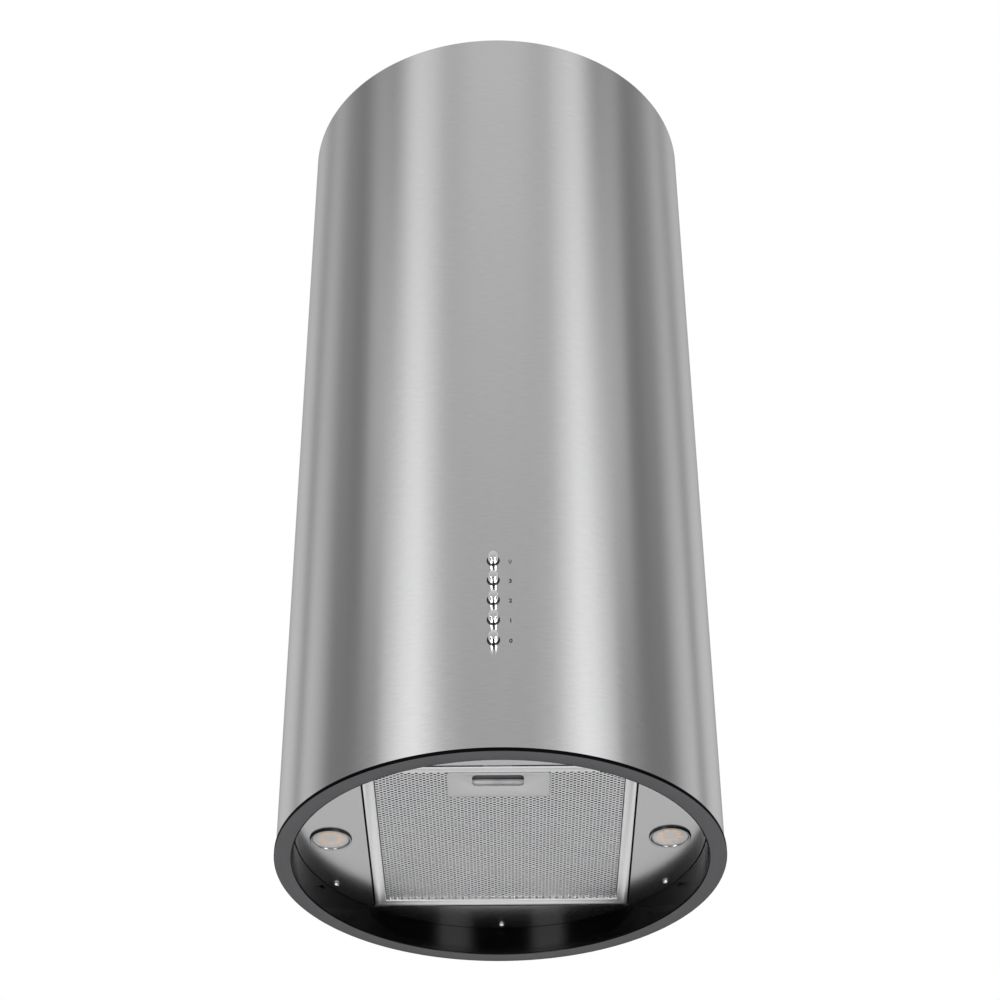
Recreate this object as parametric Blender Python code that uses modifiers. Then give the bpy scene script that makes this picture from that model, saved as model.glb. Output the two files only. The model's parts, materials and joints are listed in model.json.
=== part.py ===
"""Island range hood: a cylindrical stainless steel cover hung from the ceiling.

Metres, +Z up.  The origin is on the cylinder's axis, level with the lower
face of the bottom ring.  The push buttons face -Y.
"""

import math

import bmesh
import bpy
from mathutils import Euler, Matrix, Vector

MM = 0.001

# ---------------------------------------------------------------- dimensions
TUBE_R = 195.0 * MM          # outer radius of the steel cylinder
TUBE_WALL = 1.0 * MM
TUBE_TOP = 835.0 * MM
RING_R = 196.5 * MM          # black bottom ring
RING_IN = 180.6 * MM
RING_THICK = 2.6 * MM
SKIRT_WALL = 1.2 * MM
PANEL_Z = 26.3 * MM          # lower face of the base panel
PANEL_T = 1.2 * MM
PANEL_R = 180.0 * MM
FLANGE_Z = 27.8 * MM         # ring's inner flange, above the panel
FLANGE_T = 1.5 * MM
FLANGE_IN = 168.5 * MM
SCREW_CIRCLE = 173.0 * MM
LAMP_X = 148.6 * MM
LAMP_HOLE_R = 18.6 * MM

FILTER_X = 115.8 * MM        # half width of the grease filter
FILTER_Y0 = -127.0 * MM
FILTER_Y1 = 132.0 * MM
FILTER_T = 9.0 * MM
GAP = 1.5 * MM               # opening's gap round the filter
PIVOT = Vector((0.0, 133.0 * MM, 27.0 * MM))
HANDLE_X0, HANDLE_X1 = -44.3 * MM, 42.1 * MM
HANDLE_Y0, HANDLE_Y1 = -114.8 * MM, -73.3 * MM
SLOT_X0, SLOT_X1 = -23.0 * MM, 20.4 * MM
SLOT_Y0, SLOT_Y1 = -110.6 * MM, -92.0 * MM

BOX_X = 122.0 * MM           # sheet metal body round the blower
BOX_Y0, BOX_Y1 = -134.0 * MM, 146.0 * MM
BOX_Z0, BOX_Z1 = 29.8 * MM, 430.0 * MM
BOX_WALL = 1.0 * MM

FAN_Y, FAN_Z = -30.0 * MM, 250.0 * MM
FAN_R = 78.0 * MM            # impeller's outer radius
FAN_HALF = 47.0 * MM
SCROLL_MIN, SCROLL_MAX = 88.0 * MM, 118.0 * MM
SCROLL_HALF = 56.0 * MM
SCROLL_WALL = 1.5 * MM
OUTLET_Y0 = -12.0 * MM
OUTLET_TOP = 427.0 * MM
INLET_R = 62.0 * MM

DUCT_Y = 30.0 * MM
DUCT_R = 74.0 * MM           # outlet spigot, outside
DUCT_WALL = 1.8 * MM
DUCT_Z0, DUCT_Z1 = 430.4 * MM, 500.0 * MM
PIN_Z = 455.0 * MM
FLAP_R = 69.0 * MM
FLAP_T = 1.2 * MM

CEIL_HALF = 128.0 * MM
CEIL_TOP = 835.4 * MM
CEIL_T = 2.0 * MM
CEIL_HOLE_R = 85.0 * MM

BUTTON_X = -4.0 * MM
BUTTON_Z = [(106.0 + 20.0 * i) * MM for i in range(5)]
BUTTON_R = 4.0 * MM
BUTTON_FRONT = -204.3 * MM
BUTTON_BACK = -190.0 * MM
BUTTON_HOLE_R = 5.6 * MM

CUT = 0.01                   # how far a cutter runs past a wall

# ------------------------------------------------------------------- helpers
for old in list(bpy.data.objects):
    bpy.data.objects.remove(old, do_unlink=True)

PARTS = bpy.data.collections.new("island_range_hood")
CUTTERS = bpy.data.collections.new("island_range_hood_cutters")
for group in (PARTS, CUTTERS):
    bpy.context.scene.collection.children.link(group)

COLOURS = {
    "brushed_steel": ((0.62, 0.62, 0.63), 0.32, 1.0),
    "black_ring": ((0.035, 0.035, 0.038), 0.38, 0.0),
    "satin_panel": ((0.60, 0.60, 0.60), 0.38, 1.0),
    "aluminium": ((0.70, 0.70, 0.71), 0.40, 1.0),
    "zinc_sheet": ((0.55, 0.56, 0.57), 0.45, 1.0),
    "chrome": ((0.80, 0.80, 0.80), 0.10, 1.0),
    "black_plastic": ((0.03, 0.03, 0.03), 0.55, 0.0),
    "grey_plastic": ((0.42, 0.43, 0.44), 0.50, 0.0),
    "white_plastic": ((0.80, 0.80, 0.78), 0.50, 0.0),
    "lens": ((0.90, 0.88, 0.82), 0.15, 0.0),
    "spring_steel": ((0.50, 0.50, 0.52), 0.35, 1.0),
}


def material_for(part, finish):
    """Each part has a material of its own."""
    rgb, rough, metal = COLOURS[finish]
    mat = bpy.data.materials.new(part)
    mat.use_nodes = True
    shader = next(n for n in mat.node_tree.nodes if n.type == "BSDF_PRINCIPLED")
    shader.inputs["Base Color"].default_value = (*rgb, 1.0)
    shader.inputs["Roughness"].default_value = rough
    shader.inputs["Metallic"].default_value = metal
    mat.diffuse_color = (*rgb, 1.0)
    return mat


def evaluated_mesh(ob):
    bpy.context.view_layer.update()
    graph = bpy.context.evaluated_depsgraph_get()
    mesh = bpy.data.meshes.new_from_object(ob.evaluated_get(graph))
    work = bmesh.new()
    work.from_mesh(mesh)
    bmesh.ops.remove_doubles(work, verts=work.verts, dist=1e-6)
    bmesh.ops.recalc_face_normals(work, faces=work.faces)
    work.to_mesh(mesh)
    work.free()
    return mesh


def linked(name, data, group=CUTTERS):
    ob = bpy.data.objects.new(name, data)
    group.objects.link(ob)
    return ob


def as_mesh(ob):
    """Replaces an object by a plain mesh object at the same place."""
    mesh = evaluated_mesh(ob)
    new = linked(ob.name + "_m", mesh)
    new.matrix_world = ob.matrix_world.copy()
    bpy.data.objects.remove(ob, do_unlink=True)
    mesh.transform(new.matrix_world)
    new.matrix_world = Matrix.Identity(4)
    return new


def join_or_cut(body, other, operation):
    mod = body.modifiers.new("boolean", "BOOLEAN")
    mod.operation = operation
    mod.solver = "EXACT"
    mod.object = other
    out = as_mesh(body)
    bpy.data.objects.remove(other, do_unlink=True)
    return out


def minus(body, *others):
    for other in others:
        body = join_or_cut(body, other, "DIFFERENCE")
    return body


def plus(body, *others):
    for other in others:
        body = join_or_cut(body, other, "UNION")
    return body


def block(x0, x1, y0, y1, z0, z1):
    """A box between two corners."""
    work = bmesh.new()
    bmesh.ops.create_cube(work, size=1.0)
    mesh = bpy.data.meshes.new("block")
    work.to_mesh(mesh)
    work.free()
    ob = linked("block", mesh)
    mesh.transform(
        Matrix.Translation(((x0 + x1) / 2, (y0 + y1) / 2, (z0 + z1) / 2))
        @ Matrix.Diagonal((x1 - x0, y1 - y0, z1 - z0, 1.0))
    )
    return ob


ALONG = {
    "Z": Euler((0.0, 0.0, 0.0)),
    "X": Euler((0.0, math.radians(90.0), 0.0)),
    "Y": Euler((math.radians(-90.0), 0.0, 0.0)),
}


def turned(profile, steps, at=(0.0, 0.0, 0.0), axis="Z", closed=False):
    """Turns (radius, height) points about an axis with a Screw modifier.

    An open profile starts on the axis at the top, runs down the outer side and
    ends on the axis at the bottom.  A closed one is the section of a ring.
    """
    area = sum(
        a[0] * b[1] - b[0] * a[1]
        for a, b in zip(profile, profile[1:] + profile[:1])
    )
    points = list(profile) if area < 0 else list(reversed(profile))
    if not closed and points != list(profile):
        points = list(profile)
    mesh = bpy.data.meshes.new("profile")
    edges = [(i, i + 1) for i in range(len(points) - 1)]
    if closed:
        edges.append((len(points) - 1, 0))
    mesh.from_pydata([(r, 0.0, h) for r, h in points], edges, [])
    ob = linked("turned", mesh)
    screw = ob.modifiers.new("screw", "SCREW")
    screw.axis = "Z"
    screw.angle = math.tau
    screw.steps = screw.render_steps = steps
    screw.use_merge_vertices = True
    screw.merge_threshold = 0.00001
    screw.use_smooth_shade = True
    ob.location = at
    ob.rotation_euler = ALONG[axis]
    return as_mesh(ob)


def rod(radius, low, high, steps, at=(0.0, 0.0, 0.0), axis="Z"):
    """A plain cylinder; low and high are along its axis, from at."""
    return turned(
        [(0.0, high), (radius, high), (radius, low), (0.0, low)], steps, at, axis
    )


def sleeve(inner, outer, low, high, steps, at=(0.0, 0.0, 0.0), axis="Z"):
    return turned(
        [(outer, high), (outer, low), (inner, low), (inner, high)],
        steps, at, axis, closed=True,
    )


def circle(cx, cy, radius, count):
    return [
        (cx + radius * math.cos(math.tau * i / count),
         cy + radius * math.sin(math.tau * i / count))
        for i in range(count)
    ]


def rectangle(x0, y0, x1, y1, radius=0.0, count=4):
    """A rectangle's corners, rounded if a radius is given."""
    if radius <= 0.0:
        return [(x0, y0), (x1, y0), (x1, y1), (x0, y1)]
    out = []
    for cx, cy, start in (
        (x1 - radius, y0 + radius, -90.0), (x1 - radius, y1 - radius, 0.0),
        (x0 + radius, y1 - radius, 90.0), (x0 + radius, y0 + radius, 180.0),
    ):
        for i in range(count + 1):
            a = math.radians(start + 90.0 * i / count)
            out.append((cx + radius * math.cos(a), cy + radius * math.sin(a)))
    return out


def sheet(outlines, low, high, frame=None):
    """A flat outline with holes, as a filled 2D curve between two heights.

    frame maps the curve's own X, Y, Z to the part's axes; without one, the
    outline lies in the XY plane.
    """
    curve = bpy.data.curves.new("sheet", "CURVE")
    curve.dimensions = "2D"
    curve.fill_mode = "BOTH"
    curve.extrude = (high - low) / 2
    for points in outlines:
        line = curve.splines.new("POLY")
        line.points.add(len(points) - 1)
        for point, (x, y) in zip(line.points, points):
            point.co = (x, y, 0.0, 1.0)
        line.use_cyclic_u = True
    ob = linked("sheet", curve)
    base = frame if frame is not None else Matrix.Identity(4)
    ob.matrix_world = base @ Matrix.Translation((0.0, 0.0, (low + high) / 2))
    return as_mesh(ob)


# the outline's X is +Y and its Y is +Z, so its thickness runs along +X
ON_X = Matrix(((0, 0, 1, 0), (1, 0, 0, 0), (0, 1, 0, 0), (0, 0, 0, 1)))
# the outline's X is +X and its Y is +Z, so its thickness runs along -Y
ON_Y = Matrix(((1, 0, 0, 0), (0, 0, -1, 0), (0, 1, 0, 0), (0, 0, 0, 1)))


def wire(points, radius, sides=2):
    """A round wire through the points, with closed ends."""
    curve = bpy.data.curves.new("wire", "CURVE")
    curve.dimensions = "3D"
    curve.bevel_depth = radius
    curve.bevel_resolution = sides
    curve.use_fill_caps = True
    line = curve.splines.new("POLY")
    line.points.add(len(points) - 1)
    for point, co in zip(line.points, points):
        point.co = (*co, 1.0)
    return as_mesh(linked("wire", curve))


def rounded(body, width, segments=1, angle=40.0):
    mod = body.modifiers.new("bevel", "BEVEL")
    mod.width = width
    mod.segments = segments
    mod.limit_method = "ANGLE"
    mod.angle_limit = math.radians(angle)
    return as_mesh(body)


def finish(name, body, look, origin=(0.0, 0.0, 0.0), parent=None, smooth=True):
    """Names a part, gives it its material and puts its origin where it turns."""
    mesh = body.data
    where = Vector(origin)
    mesh.transform(Matrix.Translation(-where))
    mesh.name = name
    part = bpy.data.objects.new(name, mesh)
    PARTS.objects.link(part)
    bpy.data.objects.remove(body, do_unlink=True)
    part.location = where
    if parent is not None:
        part.parent = parent
        part.matrix_parent_inverse = parent.matrix_world.inverted()
    mesh.materials.clear()
    mesh.materials.append(material_for(name, look))
    if smooth:
        mesh.shade_smooth()
        mesh.set_sharp_from_angle(angle=math.radians(32.0))
    return part


def pivot(name, where):
    empty = bpy.data.objects.new(name, None)
    empty.empty_display_size = 0.02
    empty.location = where
    PARTS.objects.link(empty)
    bpy.context.view_layer.update()
    return empty


# ---------------------------------------------------------------- outer tube
tube = sleeve(TUBE_R - TUBE_WALL, TUBE_R, RING_THICK + 0.4 * MM, TUBE_TOP, 80)
for z in BUTTON_Z:
    tube = minus(tube, rod(BUTTON_HOLE_R, -0.02, 0.02, 20, (BUTTON_X, -TUBE_R, z), "Y"))
finish("outer_tube", tube, "brushed_steel")

# --------------------------------------------------------------- bottom ring
ring = turned(
    [
        (RING_R, RING_THICK), (RING_R, 0.0), (RING_IN, 0.0), (RING_IN, FLANGE_Z),
        (FLANGE_IN, FLANGE_Z), (FLANGE_IN, FLANGE_Z + FLANGE_T),
        (RING_IN + SKIRT_WALL, FLANGE_Z + FLANGE_T),
        (RING_IN + SKIRT_WALL, RING_THICK),
    ],
    80, closed=True,
)
ring = minus(
    ring,
    block(-119.6 * MM, 119.6 * MM, -131.0 * MM, 134.4 * MM, FLANGE_Z - 1 * MM, FLANGE_Z + CUT),
)
SCREWS = []
for azimuth in (30, 90, 150, 210, 270, 330):
    a = math.radians(azimuth)
    SCREWS.append((SCREW_CIRCLE * math.cos(a), SCREW_CIRCLE * math.sin(a)))
for x, y in SCREWS:
    ring = minus(ring, rod(1.9 * MM, FLANGE_Z - 1 * MM, FLANGE_Z + 4 * MM, 12, (x, y, 0.0)))
finish("bottom_ring", ring, "black_ring")

# ---------------------------------------------------------------- base panel
OPEN_X = FILTER_X + GAP
OPEN_Y0, OPEN_Y1 = FILTER_Y0 - GAP, FILTER_Y1 + 1.6 * MM
panel = sheet(
    [circle(0.0, 0.0, PANEL_R, 80), rectangle(-OPEN_X, OPEN_Y0, OPEN_X, OPEN_Y1)]
    + [circle(s * LAMP_X, 0.0, LAMP_HOLE_R, 28) for s in (-1, 1)]
    + [circle(x, y, 2.0 * MM, 12) for x, y in SCREWS],
    PANEL_Z, PANEL_Z + PANEL_T,
)
for side in (-1, 1):
    near, far = side * (OPEN_X + 0.3 * MM), side * (OPEN_X + 1.5 * MM)
    panel = plus(
        panel,
        block(min(near, far), max(near, far), -124.0 * MM, 128.0 * MM,
              PANEL_Z + 0.4 * MM, PANEL_Z + 12.0 * MM),
    )
finish("base_panel", panel, "satin_panel")

for i, (x, y) in enumerate(SCREWS, 1):
    head = PANEL_Z - 0.3 * MM
    screw = turned(
        [
            (0.0, 33.4 * MM), (1.2 * MM, 33.4 * MM), (1.5 * MM, 32.8 * MM),
            (1.5 * MM, head), (2.9 * MM, head), (2.9 * MM, head - 0.9 * MM),
            (2.2 * MM, head - 1.7 * MM), (1.1 * MM, head - 2.0 * MM), (0.0, head - 2.05 * MM),
        ],
        12, (x, y, 0.0),
    )
    finish(f"panel_screw_{i}", screw, "chrome", (x, y, PANEL_Z))

# --------------------------------------------------------------------- lamps
for side, word in ((-1, "left"), (1, "right")):
    at = (side * LAMP_X, 0.0, 0.0)
    bezel = turned(
        [
            (18.2 * MM, 30.5 * MM), (18.2 * MM, 25.6 * MM), (17.6 * MM, 24.9 * MM),
            (16.9 * MM, 24.9 * MM), (16.3 * MM, 25.8 * MM), (16.3 * MM, 30.5 * MM),
        ],
        28, at, closed=True,
    )
    finish(f"lamp_bezel_{word}", bezel, "chrome", (at[0], 0.0, PANEL_Z))
    lens = turned(
        [
            (0.0, 27.6 * MM), (15.9 * MM, 27.6 * MM), (15.9 * MM, 26.2 * MM),
            (15.2 * MM, 25.7 * MM), (0.0, 25.5 * MM),
        ],
        28, at,
    )
    finish(f"lamp_lens_{word}", lens, "lens", (at[0], 0.0, PANEL_Z))
    shell = turned(
        [
            (0.0, 56.0 * MM), (6.0 * MM, 56.0 * MM), (6.0 * MM, 50.0 * MM),
            (10.5 * MM, 47.0 * MM), (15.9 * MM, 34.0 * MM), (15.9 * MM, 28.0 * MM),
            (14.4 * MM, 28.0 * MM), (14.4 * MM, 34.0 * MM), (0.0, 34.0 * MM),
        ],
        24, at,
    )
    finish(f"lamp_housing_{word}", shell, "grey_plastic", (at[0], 0.0, PANEL_Z))

# ------------------------------------------------------------- body of the hood
body = minus(
    block(-BOX_X, BOX_X, BOX_Y0, BOX_Y1, BOX_Z0, BOX_Z1),
    block(-BOX_X + BOX_WALL, BOX_X - BOX_WALL, BOX_Y0 + BOX_WALL, BOX_Y1 - BOX_WALL,
          BOX_Z0 - CUT, BOX_Z1 - BOX_WALL),
)
body = minus(body, rod(71.5 * MM, BOX_Z1 - CUT, BOX_Z1 + CUT, 40, (0.0, DUCT_Y, 0.0)))
finish("body_box", body, "zinc_sheet", (0.0, 0.0, BOX_Z0), smooth=False)

# an angle rail down each side carries the body on the ring's flange
for side, word in ((-1, "left"), (1, "right")):
    near, wall, far = side * (BOX_X + 0.4 * MM), side * (BOX_X + 1.9 * MM), side * 161.0 * MM
    rail = block(min(near, far), max(near, far), -98 * MM, 98 * MM, BOX_Z0, BOX_Z0 + 1.5 * MM)
    rail = plus(rail, block(min(near, wall), max(near, wall), -98 * MM, 98 * MM, BOX_Z0 + 0.5 * MM, BOX_Z0 + 16 * MM))
    rail = minus(rail, rod(19.0 * MM, BOX_Z0 - CUT, BOX_Z0 + CUT, 28, (side * LAMP_X, 0.0, 0.0)))
    for x, y in SCREWS:
        if x * side > 0.1:
            rail = minus(rail, rod(2.0 * MM, BOX_Z0 - CUT, BOX_Z0 + CUT, 12, (x, y, 0.0)))
    finish(f"foot_rail_{word}", rail, "zinc_sheet", (side * BOX_X, 0.0, BOX_Z0), smooth=False)

# -------------------------------------------------------------------- blower
def scroll(inset, top, left):
    """The blower's spiral, as (y, z) points, from its outlet round to its tongue."""
    points = [(FAN_Y + SCROLL_MAX - inset, top), (FAN_Y + SCROLL_MAX - inset, FAN_Z)]
    turns = 30
    for i in range(1, turns + 1):
        swept = 285.0 * i / turns
        radius = SCROLL_MAX + (SCROLL_MIN - SCROLL_MAX) * swept / 285.0 - inset
        a = math.radians(-swept)
        points.append((FAN_Y + radius * math.cos(a), FAN_Z + radius * math.sin(a)))
    points.append((left, points[-1][1] + 6.0 * MM))
    points.append((left, top))
    return points


def volute(x0, x1, plate_low):
    """One half of the blower's housing, open at the middle plane."""
    outer = sheet([scroll(0.0, OUTLET_TOP, OUTLET_Y0)], x0, x1, ON_X)
    if plate_low:
        cavity = (x0 + SCROLL_WALL, x1 + CUT)
    else:
        cavity = (x0 - CUT, x1 - SCROLL_WALL)
    inner = sheet([scroll(SCROLL_WALL, OUTLET_TOP + CUT, OUTLET_Y0 + SCROLL_WALL)], *cavity, ON_X)
    half = minus(outer, inner)
    return minus(
        half, rod(INLET_R, (x0 + x1) / 2 - 0.05, (x0 + x1) / 2 + 0.05, 40, (0.0, FAN_Y, FAN_Z), "X")
    )


finish("volute_left", volute(-SCROLL_HALF, -0.2 * MM, True), "zinc_sheet", (0, FAN_Y, FAN_Z))
finish("volute_right", volute(0.2 * MM, SCROLL_HALF, False), "zinc_sheet", (0, FAN_Y, FAN_Z))

fan_axis = pivot("impeller_axis", (0.0, FAN_Y, FAN_Z))
FAN_AT = (0.0, FAN_Y, FAN_Z)
hub = turned(
    [
        (FAN_R, 1.5 * MM), (FAN_R, -1.5 * MM), (9.0 * MM, -1.5 * MM), (9.0 * MM, -4.0 * MM),
        (4.3 * MM, -4.0 * MM), (4.3 * MM, 14.0 * MM), (9.0 * MM, 14.0 * MM), (9.0 * MM, 1.5 * MM),
    ],
    24, FAN_AT, "X", closed=True,
)
work = bmesh.new()
BLADES = 18
for i in range(BLADES):
    # a blade leans back from the rings' inner edge to their outer edge
    a = math.tau * i / BLADES
    made = bmesh.ops.create_cube(work, size=1.0)["verts"]
    bmesh.ops.transform(
        work, verts=made,
        matrix=Matrix.Translation(Vector(FAN_AT))
        @ Matrix.Rotation(a, 4, "X")
        @ Matrix.Translation((0.0, 71.5 * MM, 0.0))
        @ Matrix.Rotation(math.radians(25.0), 4, "X")
        @ Matrix.Diagonal((2 * FAN_HALF - 1.0 * MM, 10.0 * MM, 0.9 * MM, 1.0)),
    )
mesh = bpy.data.meshes.new("blades")
work.to_mesh(mesh)
work.free()
blades = linked("blades", mesh)
fan = plus(
    hub, blades,
    sleeve(66.0 * MM, FAN_R, -FAN_HALF, -FAN_HALF + 1.6 * MM, 24, FAN_AT, "X"),
    sleeve(66.0 * MM, FAN_R, FAN_HALF - 1.6 * MM, FAN_HALF, 24, FAN_AT, "X"),
)
finish("impeller", fan, "black_plastic", FAN_AT, fan_axis)
finish("motor_shaft", rod(4.0 * MM, -82 * MM, 16 * MM, 16, FAN_AT, "X"), "chrome", FAN_AT, fan_axis)

motor = turned(
    [
        (41.0 * MM, -9.0 * MM), (42.0 * MM, -11.0 * MM), (42.0 * MM, -55.6 * MM),
        (19.5 * MM, -55.6 * MM), (19.5 * MM, -58.8 * MM), (42.0 * MM, -58.8 * MM),
        (42.0 * MM, -76.0 * MM), (38.0 * MM, -80.0 * MM), (4.3 * MM, -80.0 * MM),
        (4.3 * MM, -9.0 * MM),
    ],
    24, FAN_AT, "X", closed=True,
)
finish("motor_body", motor, "zinc_sheet", FAN_AT)


def spider():
    """The motor's bracket: a hub and three arms that reach the inlet's rim."""
    points = []
    for i in range(3):
        mid = math.radians(90.0 + 120.0 * i)
        for r, off in ((44.0, -0.36), (72.0, -0.16), (72.0, 0.16), (44.0, 0.36)):
            points.append((FAN_Y + r * MM * math.cos(mid + off), FAN_Z + r * MM * math.sin(mid + off)))
    return points


bracket = sheet([spider(), circle(FAN_Y, FAN_Z, 20.0 * MM, 24)], -58.3 * MM, -56.5 * MM, ON_X)
finish("motor_bracket", bracket, "zinc_sheet", FAN_AT)

# ---------------------------------------------------------- outlet and damper
finish(
    "outlet_spigot",
    sleeve(DUCT_R - DUCT_WALL, DUCT_R, DUCT_Z0, DUCT_Z1, 40, (0.0, DUCT_Y, 0.0)),
    "black_plastic", (0.0, DUCT_Y, DUCT_Z0),
)
finish(
    "spigot_flange",
    sleeve(DUCT_R + 0.4 * MM, 92.0 * MM, DUCT_Z0, DUCT_Z0 + 2.0 * MM, 40, (0.0, DUCT_Y, 0.0)),
    "black_plastic", (0.0, DUCT_Y, DUCT_Z0),
)
PIN_AT = (0.0, DUCT_Y, PIN_Z)
finish("damper_pin", rod(2.0 * MM, -71.6 * MM, 71.6 * MM, 12, PIN_AT, "X"), "spring_steel", PIN_AT)


def flap(side, knuckles):
    """A half disc beside the pin, with two knuckles round it."""
    near = 4.6 * MM
    arc = []
    count = 24
    start = math.asin(near / FLAP_R)
    for i in range(count + 1):
        a = start + (math.pi - 2 * start) * i / count
        arc.append((FLAP_R * math.cos(a), DUCT_Y + side * FLAP_R * math.sin(a)))
    leaf = sheet([arc], PIN_Z - FLAP_T / 2, PIN_Z + FLAP_T / 2)
    for x in knuckles:
        near_y, far_y = DUCT_Y + side * 3.2 * MM, DUCT_Y + side * 9.0 * MM
        lug = block(x - 4 * MM, x + 4 * MM, min(near_y, far_y), max(near_y, far_y),
                    PIN_Z - 0.9 * MM, PIN_Z + 0.9 * MM)
        leaf = plus(leaf, lug, sleeve(2.4 * MM, 4.0 * MM, -4.5 * MM, 4.5 * MM, 16, (x, DUCT_Y, PIN_Z), "X"))
    return leaf


front_axis = pivot("damper_front_axis", PIN_AT)
rear_axis = pivot("damper_rear_axis", PIN_AT)
finish("damper_flap_front", flap(-1, (-46 * MM, 30 * MM)), "black_plastic", PIN_AT, front_axis)
finish("damper_flap_rear", flap(1, (-30 * MM, 46 * MM)), "black_plastic", PIN_AT, rear_axis)

# ------------------------------------------------------------- hanging frame
ceiling = sheet(
    [
        rectangle(-CEIL_HALF, -CEIL_HALF, CEIL_HALF, CEIL_HALF, 6 * MM, 3),
        circle(0.0, DUCT_Y, CEIL_HOLE_R, 40),
    ]
    + [rectangle(x - 9 * MM, -106 * MM, x + 9 * MM, -98 * MM, 3.9 * MM, 3) for x in (-88 * MM, 88 * MM)]
    + [circle(x, y, 4.0 * MM, 12) for x, y in ((-98 * MM, 62 * MM), (98 * MM, 62 * MM))],
    CEIL_TOP - CEIL_T, CEIL_TOP,
)
for side in (-1, 1):
    near, far = side * (CEIL_HALF - 0.4 * MM), side * (CEIL_HALF - 2.4 * MM)
    ceiling = plus(
        ceiling,
        block(min(near, far), max(near, far), -100 * MM, 100 * MM, CEIL_TOP - 26 * MM, CEIL_TOP - 0.8 * MM),
        block(-100 * MM, 100 * MM, min(near, far), max(near, far), CEIL_TOP - 26 * MM, CEIL_TOP - 0.8 * MM),
    )
finish("ceiling_plate", ceiling, "zinc_sheet", (0.0, 0.0, CEIL_TOP), smooth=False)


def angle_iron(corner, sx, sy, leg, wall, low, high, holes, hole_r):
    """An upright of angle section; its corner is outside, its legs run inwards."""
    cx, cy = corner
    bar = sheet(
        [[
            (cx, cy), (cx - sx * leg, cy), (cx - sx * leg, cy - sy * wall),
            (cx - sx * wall, cy - sy * wall), (cx - sx * wall, cy - sy * leg), (cx, cy - sy * leg),
        ]],
        low, high,
    )
    for z in holes:
        bar = minus(bar, rod(hole_r, -6 * MM, 6 * MM, 12, (cx, cy - sy * leg * 0.58, z), "X"))
    return bar


corners = [("front_left", -1, -1), ("front_right", 1, -1), ("rear_left", -1, 1), ("rear_right", 1, 1)]
for word, sx, sy in corners:
    low_corner = (sx * 119.0 * MM, sy * 119.0 * MM)
    lower = angle_iron(low_corner, sx, sy, 22 * MM, 1.5 * MM, 430.4 * MM, 650 * MM,
                       (585 * MM, 610 * MM, 635 * MM), 2.8 * MM)
    finish(f"strut_lower_{word}", lower, "zinc_sheet", (*low_corner, 430.4 * MM), smooth=False)
    up_corner = (sx * 117.1 * MM, sy * 117.1 * MM)
    upper = angle_iron(up_corner, sx, sy, 20 * MM, 1.5 * MM, 565 * MM, CEIL_TOP - CEIL_T - 0.4 * MM,
                       (), 2.8 * MM)
    upper = minus(upper, rod(2.8 * MM, -6 * MM, 6 * MM, 12,
                             (up_corner[0], low_corner[1] - sy * 22 * MM * 0.58, 610 * MM), "X"))
    finish(f"strut_upper_{word}", upper, "zinc_sheet", (*up_corner, 565 * MM), smooth=False)

# ------------------------------------------------------------------ controls
guide = block(-14 * MM, 6 * MM, -193.1 * MM, -191.1 * MM, 96 * MM, 196 * MM)
for z in BUTTON_Z:
    guide = plus(guide, rod(5.25 * MM, -195.2 * MM, -192.0 * MM, 20, (BUTTON_X, 0.0, z), "Y"))
for z in BUTTON_Z:
    guide = minus(guide, rod(4.35 * MM, -200 * MM, -185 * MM, 20, (BUTTON_X, 0.0, z), "Y"))
finish("button_guide", guide, "black_plastic", (BUTTON_X, -192 * MM, 146 * MM))

housing = block(-14 * MM, 6 * MM, -180 * MM, -158 * MM, 94 * MM, 198 * MM)
for z in BUTTON_Z:
    housing = minus(housing, rod(2.7 * MM, -190 * MM, -162 * MM, 12, (BUTTON_X, 0.0, z), "Y"))
finish("switch_housing", housing, "white_plastic", (BUTTON_X, -169 * MM, 146 * MM), smooth=False)

for i, z in enumerate(BUTTON_Z, 1):
    axis = pivot(f"button_{i}_axis", (BUTTON_X, -TUBE_R, z))
    # along +Y: the domed front first, then the plain shank behind the wall
    cap = turned(
        [
            (0.0, BUTTON_BACK), (BUTTON_R, BUTTON_BACK), (BUTTON_R, BUTTON_FRONT + 0.9 * MM),
            (BUTTON_R - 0.35 * MM, BUTTON_FRONT + 0.3 * MM), (BUTTON_R - 1.2 * MM, BUTTON_FRONT),
            (0.0, BUTTON_FRONT),
        ],
        20, (BUTTON_X, 0.0, z), "Y",
    )
    finish(f"button_cap_{i}", cap, "chrome", (BUTTON_X, -TUBE_R, z), axis)
    stem = rod(2.2 * MM, BUTTON_BACK + 0.3 * MM, -170.0 * MM, 12, (BUTTON_X, 0.0, z), "Y")
    finish(f"button_stem_{i}", stem, "grey_plastic", (BUTTON_X, -TUBE_R, z), axis)

# a channel carries the switches from the body's front wall
carrier = sheet(
    [[
        (-157.6 * MM, 92.0 * MM), (-134.4 * MM, 92.0 * MM), (-134.4 * MM, 93.5 * MM),
        (-156.1 * MM, 93.5 * MM), (-156.1 * MM, 198.5 * MM), (-134.4 * MM, 198.5 * MM),
        (-134.4 * MM, 200.0 * MM), (-157.6 * MM, 200.0 * MM),
    ]],
    -14 * MM, 6 * MM, ON_X,
)
finish("switch_bracket", carrier, "zinc_sheet", (BUTTON_X, -146 * MM, 146 * MM), smooth=False)

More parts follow.
